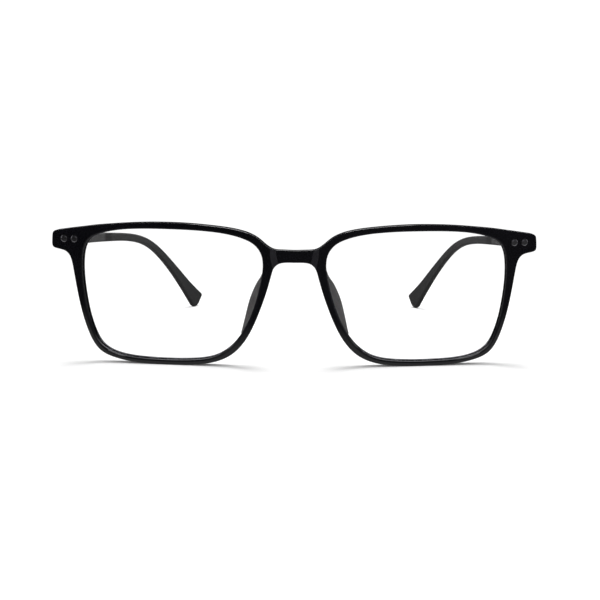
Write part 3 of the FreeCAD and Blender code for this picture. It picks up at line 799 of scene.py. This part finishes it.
def temple_wall(build):
    """The edge all round, rounded on both faces; returns the end flat loops."""
    def density(points):
        """Closer points towards the hinge and round the tip."""
        y = points[:, 0]
        return 1.0 + 1.2 * (y < 30) + 2.0 * (y < 13.4) + 1.5 * (y > 130)

    outline = closed_loop(temple_outline(), 900, density)
    inward = left_normals(outline)
    outline = outline + inward * 0.010      # offsets the sag of the chords
    # edge rounding: small at the hinge end, nearly half round at the tip
    near = np.interp(outline[:, 0], [13.3, 15.5, 26.0, 32.0], [0.22, 0.33, 0.36, 0.55])
    edge = near + 0.29 * smoothstep(np.clip((outline[:, 0] - 122.0) / 10.0, 0, 1))

    # stations: inset in edge radii, then depth as thickness share plus edge radii
    rounding = fillet_steps(1.0, 7) + [(1.16, 0.0)]
    stations = [(inset, 0.0, drop) for inset, drop in reversed(rounding)]
    stations += [(0.0, share, 1 - 2 * share) for share in (0.2, 0.5, 0.8)]
    stations += [(inset, 1.0, -drop) for inset, drop in rounding]
    loops = []
    for inset, share, radii in stations:
        flat = outline + inward * inset * edge[:, None]
        depth = share * thickness(flat[:, 0]) + radii * edge
        loops.append((flat, build.loop(temple_point(flat, depth))))
    build.skin([loop for _, loop in loops])
    return loops[0], loops[-1]


def temple_seat(build, y):
    """Round rivet seat in the outer face; returns its rim."""
    centre = np.array([y, PLATE_Z])
    angle = turns(40)
    spokes = np.stack([np.cos(angle), np.sin(angle)], 1)
    seat_r, floor_x = RIVET_R + FIT, outer_x(y) - 0.38
    loops = []
    for radius, depth in ((1.14, 0.0), (1.06, 0.01), (seat_r, 0.06)):
        flat = centre + spokes * radius
        loops.append(build.loop(temple_point(flat, thickness(flat[:, 0]) - depth)))
    loops.append(build.loop(upright_point(centre + spokes * seat_r, floor_x)))
    build.skin(loops)
    build.fan(loops[-1], (floor_x, y - ORIGIN_Y, PLATE_Z))
    return centre + spokes * 1.14, loops[0]


def plate_tool(mirror):
    """Solid that cuts the hinge plate's pocket into the inner face."""
    tool = Build()
    half_h = PLATE_H / 2 + FIT
    rect = rect_loop(PLATE_Y[0] - FIT, PLATE_Y[1] + FIT, PLATE_Z - half_h, PLATE_Z + half_h,
                     0.5)

    def layer(flat, depth):
        return upright_point(flat, inner_x(flat[:, 0]) + depth)

    depths = (PLATE_T + FIT, -1.0)
    loops = [tool.loop(layer(rect, depth)) for depth in depths]
    tool.skin(loops)
    grid = hexgrid(*PLATE_Y, PLATE_Z - 1.2, PLATE_Z + 1.2, 0.45)
    for loop, depth in zip(loops, depths):
        tool.patch((rect, loop), [], grid, lambda flat: layer(flat, depth))
    return tool.object("cut_plate", mirror)


def make_temple(name, mirror):
    build = Build()
    inner_edge, outer_edge = temple_wall(build)
    seats = [temple_seat(build, y) for y in TEMPLE_RIVET_Y]
    grid = hexgrid(12, 142, -1, 39, 0.7)
    build.patch(inner_edge, [], grid, lambda flat: temple_point(flat, 0.0), clear=0.3)
    build.patch(outer_edge, seats, grid,
                lambda flat: temple_point(flat, thickness(flat[:, 0])), clear=0.3)
    ob = build.object(name, mirror, sharp=38)
    sign = -1.0 if mirror else 1.0
    cuts = []
    for i, y in enumerate(TEMPLE_RIVET_Y):
        x = outer_x(y) - 0.30
        cuts.append(cutting_rod(i, np.array([x * sign, y - ORIGIN_Y, PLATE_Z]),
                                np.array([-sign, 0.0, 0.0]), TEMPLE_SHANK_R + FIT,
                                x - float(inner_x(y)) + 0.6))
    cuts.append(plate_tool(mirror))
    return carve(ob, cuts, 38)


# ---- rivets ---------------------------------------------------------------
def dome_profile(dome, head_h, shank_r, length):
    """From the crown down: shallow dome, softened rim, head, shank."""
    rim = 0.10
    sphere = (RIVET_R * RIVET_R + dome * dome) / (2 * dome)
    profile = [(radius, dome - (sphere - math.sqrt(sphere * sphere - radius * radius)))
               for radius in np.linspace(0.04, RIVET_R - rim, 12)]
    shoulder = profile[-1][1]
    for turn in np.linspace(0, math.pi / 2, 6)[1:]:
        profile.append((RIVET_R - rim + rim * math.sin(turn),
                        shoulder - rim * (1 - math.cos(turn)) - 0.02))
    return profile + [(RIVET_R, -head_h + 0.04), (RIVET_R - 0.04, -head_h),
                      (shank_r + 0.03, -head_h), (shank_r, -head_h - 0.03),
                      (shank_r, -length + 0.05), (shank_r - 0.05, -length)]


def make_front_rivet(name, x, mirror):
    build = Build()
    build.lathe(*rivet_axis(x), dome_profile(dome=0.16, head_h=0.45, shank_r=FRONT_SHANK_R,
                                             length=2.60))
    return build.object(name, mirror, sharp=50)


def make_temple_rivets(name, mirror):
    build = Build()
    for y in TEMPLE_RIVET_Y:
        x = outer_x(y)
        build.lathe(np.array([x, y - ORIGIN_Y, PLATE_Z]), np.array([1.0, 0.0, 0.0]),
                    dome_profile(dome=0.15, head_h=0.35, shank_r=TEMPLE_SHANK_R,
                                 length=x - float(inner_x(y)) - 0.16))
    return build.object(name, mirror, sharp=50)


# ---- shader graphs --------------------------------------------------------
class Graph:
    """An emptied node tree with short ways to add nodes; most return a socket."""

    def __init__(self, tree):
        self.tree = tree
        tree.nodes.clear()

    def add(self, kind, inputs=None, **settings):
        """A node; inputs are sockets to link from, or values."""
        made = self.tree.nodes.new("ShaderNode" + kind)
        for key, value in settings.items():
            setattr(made, key, value)
        for key, value in (inputs or {}).items():
            if isinstance(value, bpy.types.NodeSocket):
                self.tree.links.new(value, made.inputs[key])
            else:
                made.inputs[key].default_value = value
        return made

    def coords(self, stretch=(1, 1, 1)):
        source = self.add("TexCoord").outputs["Object"]
        return self.add("Mapping", {"Vector": source, "Scale": stretch}).outputs["Vector"]

    def noise(self, at, scale, detail=3.0, rough=0.5):
        return self.add("TexNoise", {"Vector": at, "Scale": scale, "Detail": detail,
                                     "Roughness": rough}).outputs["Fac"]

    def ramp(self, factor, low, high):
        """Blend of two RGB colours over the middle of the factor's range."""
        made = self.add("ValToRGB", {"Fac": factor})
        for stop, position, colour in zip(made.color_ramp.elements, (0.3, 0.7), (low, high)):
            stop.position = position
            stop.color = (*colour, 1)
        return made.outputs["Color"]

    def remap(self, value, source, target):
        return self.add("MapRange", {"Value": value, "From Min": source[0],
                                     "From Max": source[1], "To Min": target[0],
                                     "To Max": target[1]}).outputs["Result"]

    def by_angle(self, angle, *stops):
        """Greys against an angle: (degrees, grey) in rising order."""
        low, high = stops[0][0], stops[-1][0]
        share = self.remap(angle, (math.radians(low), math.radians(high)), (0, 1))
        made = self.add("ValToRGB", {"Fac": share})
        elements = made.color_ramp.elements
        for element, (_, grey) in zip((elements[0], elements[1]), (stops[0], stops[-1])):
            element.color = (grey, grey, grey, 1)
        for degrees, grey in stops[1:-1]:
            elements.new((degrees - low) / (high - low)).color = (grey, grey, grey, 1)
        return made.outputs["Color"]

    def math(self, operation, first, second=0.0):
        return self.add("Math", {0: first, 1: second}, operation=operation).outputs["Value"]

    def mix(self, factor, first, second, **settings):
        return self.add("Mix", {"Factor": factor, "A": first, "B": second},
                        data_type="RGBA", **settings).outputs["Result"]

    def bump(self, height, strength, distance, over=None):
        inputs = {"Height": height, "Strength": strength, "Distance": distance}
        if over is not None:
            inputs["Normal"] = over
        return self.add("Bump", inputs).outputs["Normal"]

    def split(self, vector):
        return self.add("SeparateXYZ", {"Vector": vector}).outputs

    def blend(self, factor, first, second):
        return self.add("MixShader", {"Fac": factor, 1: first, 2: second}).outputs["Shader"]

    def output(self, shader):
        self.add("OutputMaterial", {"Surface": shader})

    def principled(self, inputs):
        self.output(self.add("BsdfPrincipled", inputs).outputs["BSDF"])


def new_material(name):
    material = bpy.data.materials.new(name)
    material.use_nodes = True
    return material, Graph(material.node_tree)


# ---- materials ------------------------------------------------------------
def gloss_black(name):
    material, graph = new_material(name)
    at = graph.coords()
    swell = graph.noise(at, scale=110.0, detail=2.0)
    specks = graph.noise(at, scale=5200.0, detail=2.0)
    polish = graph.noise(at, scale=900.0, detail=4.0, rough=0.6)
    colour = graph.ramp(swell, (0.0016, 0.0016, 0.0026), (0.0030, 0.0029, 0.0042))
    # painted reflection: the two sloped facets of the bridge get a lighter base colour,
    # standing in for the brighter room they reflect; the mask picks faces that lean
    # sideways, face forwards and lie near the middle
    geometry = graph.add("NewGeometry").outputs
    place, normal = graph.split(geometry["Position"]), graph.split(geometry["True Normal"])
    lean = graph.remap(graph.math("ABSOLUTE", normal["X"]), (0.10, 0.40), (0.0, 1.0))
    forward = graph.remap(normal["Y"], (-0.80, -0.70), (1.0, 0.0))
    middle = graph.remap(graph.math("ABSOLUTE", place["X"]), (0.0070, 0.0076), (1.0, 0.0))
    painted_facet_light = graph.math("MULTIPLY", graph.math("MULTIPLY", lean, forward), middle)
    under = graph.bump(specks, strength=0.06, distance=0.000004)
    graph.principled({
        # the lighter colour mixed in here is the painted reflection on the bridge's facets
        "Base Color": graph.mix(painted_facet_light, colour, (0.0155, 0.0150, 0.0175, 1)),
        "Roughness": graph.remap(polish, (0.3, 0.7), (0.045, 0.085)),
        "Normal": graph.bump(swell, strength=0.10, distance=0.00002, over=under),
        "IOR": 1.49})
    return material


def matte_black(name):
    material, graph = new_material(name)
    at = graph.coords()
    cloud = graph.noise(at, scale=160.0, detail=3.0, rough=0.55)
    grain = graph.noise(at, scale=3600.0, detail=4.0, rough=0.7)
    pores = graph.add("TexVoronoi", {"Vector": at, "Scale": 5200.0}).outputs["Distance"]
    colour = graph.mix(
        0.35,
        graph.ramp(cloud, (0.0098, 0.0098, 0.0101), (0.0125, 0.0125, 0.0129)),
        graph.ramp(grain, (0.0078, 0.0078, 0.0081), (0.0168, 0.0168, 0.0172)))
    # painted sheen and shade: a paler, shinier stretch next to the hinge, closed off by a
    # darker band; it scales both the base colour and the specular level
    along = graph.split(at)["Y"]
    pale = graph.remap(along, (-0.0290, -0.0267), (2.50, 0.50))
    plain = graph.remap(along, (-0.0222, -0.0198), (0.0, 1.0))
    to_plain = graph.math("MULTIPLY", plain, graph.math("SUBTRACT", 1.0, pale))
    painted_sheen_zone = graph.math("ADD", pale, to_plain)
    toned = graph.add("VectorMath", {0: colour, "Scale": painted_sheen_zone}, operation="SCALE")
    under = graph.bump(grain, strength=0.22, distance=0.00003)
    graph.principled({
        "Base Color": toned.outputs["Vector"],
        "Roughness": graph.remap(grain, (0.3, 0.7), (0.50, 0.66)),
        "Normal": graph.bump(pores, strength=0.10, distance=0.00002, over=under),
        # the painted sheen raises the specular level next to the hinge and lowers it in the
        # darker band
        "IOR": 1.46, "Specular IOR Level": graph.math("MULTIPLY", painted_sheen_zone, 0.50),
        "Sheen Weight": 0.06, "Sheen Roughness": 0.5})
    return material


def smoke_grey(name):
    material, graph = new_material(name)
    at = graph.coords()
    cloud = graph.noise(at, scale=260.0)
    wear = graph.noise(at, scale=1800.0)
    grain = graph.noise(at, scale=2600.0, detail=2.0)
    graph.principled({
        "Base Color": graph.ramp(cloud, (0.070, 0.068, 0.067), (0.088, 0.086, 0.084)),
        "Roughness": graph.remap(wear, (0.3, 0.7), (0.28, 0.42)),
        "Normal": graph.bump(grain, strength=0.08, distance=0.00002),
        "IOR": 1.45, "Subsurface Weight": 0.35, "Subsurface Scale": 0.0012,
        "Subsurface Radius": (1.0, 0.95, 0.9)})
    return material


def clear_lens(name):
    material, graph = new_material(name)
    through = graph.add("BsdfTransparent", {"Color": (0.998, 0.998, 1.0, 1)})
    tint = graph.ramp(graph.noise(graph.coords(), scale=18.0, detail=1.0),
                      (0.86, 0.90, 1.0), (0.91, 0.89, 1.0))
    mirror = graph.add("BsdfGlossy", {"Color": tint, "Roughness": 0.02})
    # rays go straight through, so both faces must read as air to plastic
    backfacing = graph.add("NewGeometry").outputs["Backfacing"]
    ior = graph.remap(backfacing, (0.0, 1.0), (1.5, 1.0 / 1.5))
    fresnel = graph.add("Fresnel", {"IOR": ior}).outputs["Fac"]
    graph.output(graph.blend(graph.remap(fresnel, (0.04, 1.0), (0.006, 0.75)),
                             through.outputs["BSDF"], mirror.outputs["BSDF"]))
    return material


def metal(name, base, rough, stretch, spread=0.12):
    """Brushed metal; stretch draws the brushing out, spread varies the colour."""
    material, graph = new_material(name)
    brush = graph.noise(graph.coords(stretch), scale=900.0, detail=4.0, rough=0.65)
    spots = graph.noise(graph.coords(), scale=700.0)
    low = tuple(channel * (1 - spread) for channel in base)
    high = tuple(channel * (1 + spread) for channel in base)
    graph.principled({
        "Base Color": graph.mix(0.4, graph.ramp(brush, low, high),
                                graph.ramp(spots, low, high)),
        "Metallic": 1.0,
        "Roughness": graph.remap(brush, (0.3, 0.7), (rough * 0.8, rough * 1.25)),
        "Normal": graph.bump(brush, strength=0.12, distance=0.00001)})
    return material


MATERIALS = {name: make(name) for name, make in (
    ("front_gloss_black", gloss_black), ("temple_matte_black", matte_black),
    ("pad_smoke_grey", smoke_grey), ("lens_clear", clear_lens))}
for name, look in (
        ("hinge_steel", dict(base=(0.52, 0.52, 0.53), rough=0.30, stretch=(1, 1, 8))),
        ("rivet_gunmetal", dict(base=(0.38, 0.38, 0.40), rough=0.14, stretch=(1, 1, 1),
                                spread=0.15)),
        ("screw_steel", dict(base=(0.62, 0.62, 0.63), rough=0.20, stretch=(1, 1, 4))),
        ("core_steel", dict(base=(0.50, 0.50, 0.51), rough=0.35, stretch=(6, 1, 6)))):
    MATERIALS[name] = metal(name, **look)


# ---- pieces ---------------------------------------------------------------
def paint(ob, slot):
    ob.data.materials.clear()
    ob.data.materials.append(MATERIALS[slot])


def dress(ob, slot, body, node):
    """Material of a new piece, the body it moves with and the CAD node it replaces."""
    paint(ob, slot)
    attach(ob, body)
    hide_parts(node)


dress(make_front(), "front_gloss_black", "front", "front_frame")
for side, mirror in (("left", False), ("right", True)):
    arm = "temple_arm_" + side
    dress(make_lens("lens_clear_" + side, mirror), "lens_clear", "front", "lens_" + side)
    dress(make_pad("pad_" + side, mirror), "pad_smoke_grey", "front", "nose_pad_" + side)
    for place, x in zip(("inner_", "outer_"), FRONT_RIVET_X):
        dress(make_front_rivet("rivet_" + place + side, x, mirror), "rivet_gunmetal",
              "front", "front_rivet_" + place + side)
    dress(make_temple("temple_body_" + side, mirror), "temple_matte_black", arm,
          "temple_" + side)
    dress(make_temple_rivets("temple_rivet_pair_" + side, mirror), "rivet_gunmetal", arm,
          "temple_rivets_" + side)

# CAD pieces that stay: the first prefix that fits gives the slot
KEPT_SLOTS = (("hinge_screw", "screw_steel"), ("hinge_", "hinge_steel"),
              ("temple_core", "core_steel"))
for name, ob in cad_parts.items():
    slot = next((slot for prefix, slot in KEPT_SLOTS if name.startswith(prefix)), None)
    if slot and not ob.hide_render:
        paint(ob, slot)

# ---- stage, metres --------------------------------------------------------
FAR_RIGHT, FAR_LEFT = 0.026, 0.066  # dim surroundings in reflections, by wearer's side
NEAR = 0.54                     # lit patch of table in reflections
CARD = 0.11                     # dim card in front
ROOM = 1.04                     # even light for everything that isn't shiny
STRIP = 1.6                     # bright strip behind
BACKDROP = 1.08                 # white seen by the camera


def floor_material(name):
    material, graph = new_material(name)
    position = graph.add("NewGeometry").outputs["Position"]
    white = graph.ramp(graph.noise(position, scale=9.0), (0.925,) * 3, (0.935,) * 3)
    table = graph.add("BsdfDiffuse", {"Color": white}).outputs["BSDF"]
    # mirror-like surfaces see a lit patch that fades out towards the viewer
    place = graph.split(position)
    far = graph.remap(place["X"], (-0.25, 0.05), (FAR_RIGHT, FAR_LEFT))
    near = graph.math("MULTIPLY",
                      graph.remap(place["Y"], (-0.105, -0.076), (0.0, NEAR)),
                      graph.remap(place["Y"], (-0.056, -0.046), (1.0, 0.2)))
    glow = graph.add("Emission", {"Strength": graph.math("MAXIMUM", near, far)})
    rays = graph.add("LightPath").outputs
    shown = graph.blend(rays["Is Glossy Ray"], table, glow.outputs["Emission"])
    # seen directly, the table runs into the white backdrop
    level = graph.add("VectorMath", {0: position, 1: (1.0, 1.0, 0.0)}, operation="MULTIPLY")
    distance = graph.add("VectorMath", {0: level.outputs["Vector"]}, operation="LENGTH")
    away = graph.remap(distance.outputs["Value"], (0.13, 0.30), (0.0, 1.0))
    backdrop = graph.add("Emission", {"Strength": BACKDROP}).outputs["Emission"]
    graph.output(graph.blend(graph.math("MULTIPLY", away, rays["Is Camera Ray"]),
                             shown, backdrop))
    return material


def make_floor():
    mesh = bpy.data.meshes.new("floor")
    work = bmesh.new()
    bmesh.ops.create_grid(work, x_segments=24, y_segments=24, size=3.0)
    work.to_mesh(mesh)
    work.free()
    ob = add_object("floor", mesh)
    mesh.materials.append(floor_material("floor_white"))


def reflected_room(graph, direction, elevation):
    """What shiny surfaces see: a dark front, side cards, bright bands behind."""
    # 0 degrees is straight ahead of the wearer, 180 straight behind
    azimuth = graph.math("ARCTAN2", graph.math("ABSOLUTE", direction["X"]),
                         graph.math("MULTIPLY", direction["Y"], -1.0))
    dim = graph.remap(direction["X"], (-0.30, 0.10), (FAR_RIGHT, FAR_LEFT))
    sides = graph.by_angle(azimuth, (0, 0.0), (66, 0.0), (84, 0.50), (100, 0.60),
                           (180, 0.62))
    behind = graph.by_angle(azimuth, (0, 0.0), (104, 0.0), (124, 1.0), (180, 1.0))
    band = graph.by_angle(elevation, (-90, 0.05), (15.5, 0.05), (18.5, 1.0), (25.0, 1.0),
                          (30.0, 0.10), (90, 0.10))
    upper = graph.by_angle(elevation, (-90, 1.0), (20, 1.0), (40, 0.15), (90, 0.15))
    gain = graph.math("ADD", graph.math("MULTIPLY", behind, band),
                      graph.math("MULTIPLY", graph.math("SUBTRACT", 1.0, behind), upper))
    shade = graph.math("MULTIPLY", graph.math("MAXIMUM", dim, sides), gain)
    # a dim card in front, above the horizon, that only the rivet domes catch
    card = graph.math("MULTIPLY",
                      graph.by_angle(azimuth, (0, CARD), (24, CARD), (38, 0.0), (180, 0.0)),
                      graph.by_angle(elevation, (-90, 0.0), (5, 0.0), (12, 1.0), (34, 1.0),
                                     (50, 0.0), (90, 0.0)))
    shade = graph.math("ADD", shade, card)
    # a bright strip low behind the wearer, caught by the lower inner walls
    low = graph.by_angle(elevation, (-90, 0.0), (16.5, 0.0), (19.0, 1.0), (26.0, 1.0),
                         (30.0, 0.0), (90, 0.0))
    strip = graph.math("MULTIPLY", graph.math("MULTIPLY", behind, low), STRIP)
    shade = graph.math("ADD", shade, strip)
    return graph.mix(1.0, shade, (1.0, 0.99, 1.03, 1), blend_type="MULTIPLY")


def make_world():
    world = bpy.data.worlds.new("studio")
    bpy.context.scene.world = world
    world.use_nodes = True
    graph = Graph(world.node_tree)

    def background(inputs):
        return graph.add("Background", inputs).outputs["Background"]

    direction = graph.split(graph.add("TexCoord").outputs["Generated"])
    elevation = graph.math("ARCSINE", direction["Z"])
    shiny = background({"Color": reflected_room(graph, direction, elevation)})
    # what everything else is lit by: an even white room, brighter overhead
    even = graph.by_angle(elevation, (-90, 0.5), (0, 0.5), (45, 0.9), (90, 1.0))
    room = background({"Color": even, "Strength": ROOM})
    seen = background({"Color": (1, 1, 1, 1), "Strength": BACKDROP})
    rays = graph.add("LightPath").outputs
    unseen = graph.blend(rays["Is Glossy Ray"], room, shiny)
    graph.add("OutputWorld", {"Surface": graph.blend(rays["Is Camera Ray"], unseen, seen)})


def make_light():
    lamp = bpy.data.lights.new("overhead_soft", "AREA")
    lamp.shape = "SQUARE"
    lamp.size = 0.4
    lamp.energy = 5.0
    place, aim = Vector((0.0, 0.10, 0.9)), Vector((0.0, 0.10, 0.0))
    ob = add_object("overhead_soft", lamp)
    ob.location = place
    ob.rotation_mode = "QUATERNION"
    ob.rotation_quaternion = (aim - place).to_track_quat("-Z", "Y")


def make_camera():
    """In front of the glasses, looking backwards and slightly down."""
    lens = bpy.data.cameras.new("camera")
    ob = add_object("camera", lens)
    yaw, pitch, roll = -0.01785089, 0.12046160, 0.00929404      # radians
    place = (0.00764594, -(0.20578791 + ORIGIN_Y / 1000.0), 0.04453883)
    forward = Vector((-math.sin(yaw) * math.cos(pitch), math.cos(yaw) * math.cos(pitch),
                      -math.sin(pitch)))
    level = Vector((math.cos(yaw), math.sin(yaw), 0.0))
    upright = level.cross(forward)
    right = level * math.cos(roll) + upright * math.sin(roll)
    up = upright * math.cos(roll) - level * math.sin(roll)
    matrix = Matrix.Identity(4)
    for i in range(3):
        matrix[i] = (right[i], up[i], -forward[i], place[i])
    ob.matrix_world = matrix
    lens.sensor_width = 36.0
    lens.sensor_fit = "HORIZONTAL"
    lens.lens = 45.2474196
    lens.shift_x = -0.0590734333
    lens.clip_start, lens.clip_end = 0.01, 20.0
    bpy.context.scene.camera = ob


make_floor()
make_world()
make_light()
make_camera()
bpy.context.scene.view_settings.view_transform = "Standard"
bpy.context.scene.view_settings.look = "None"
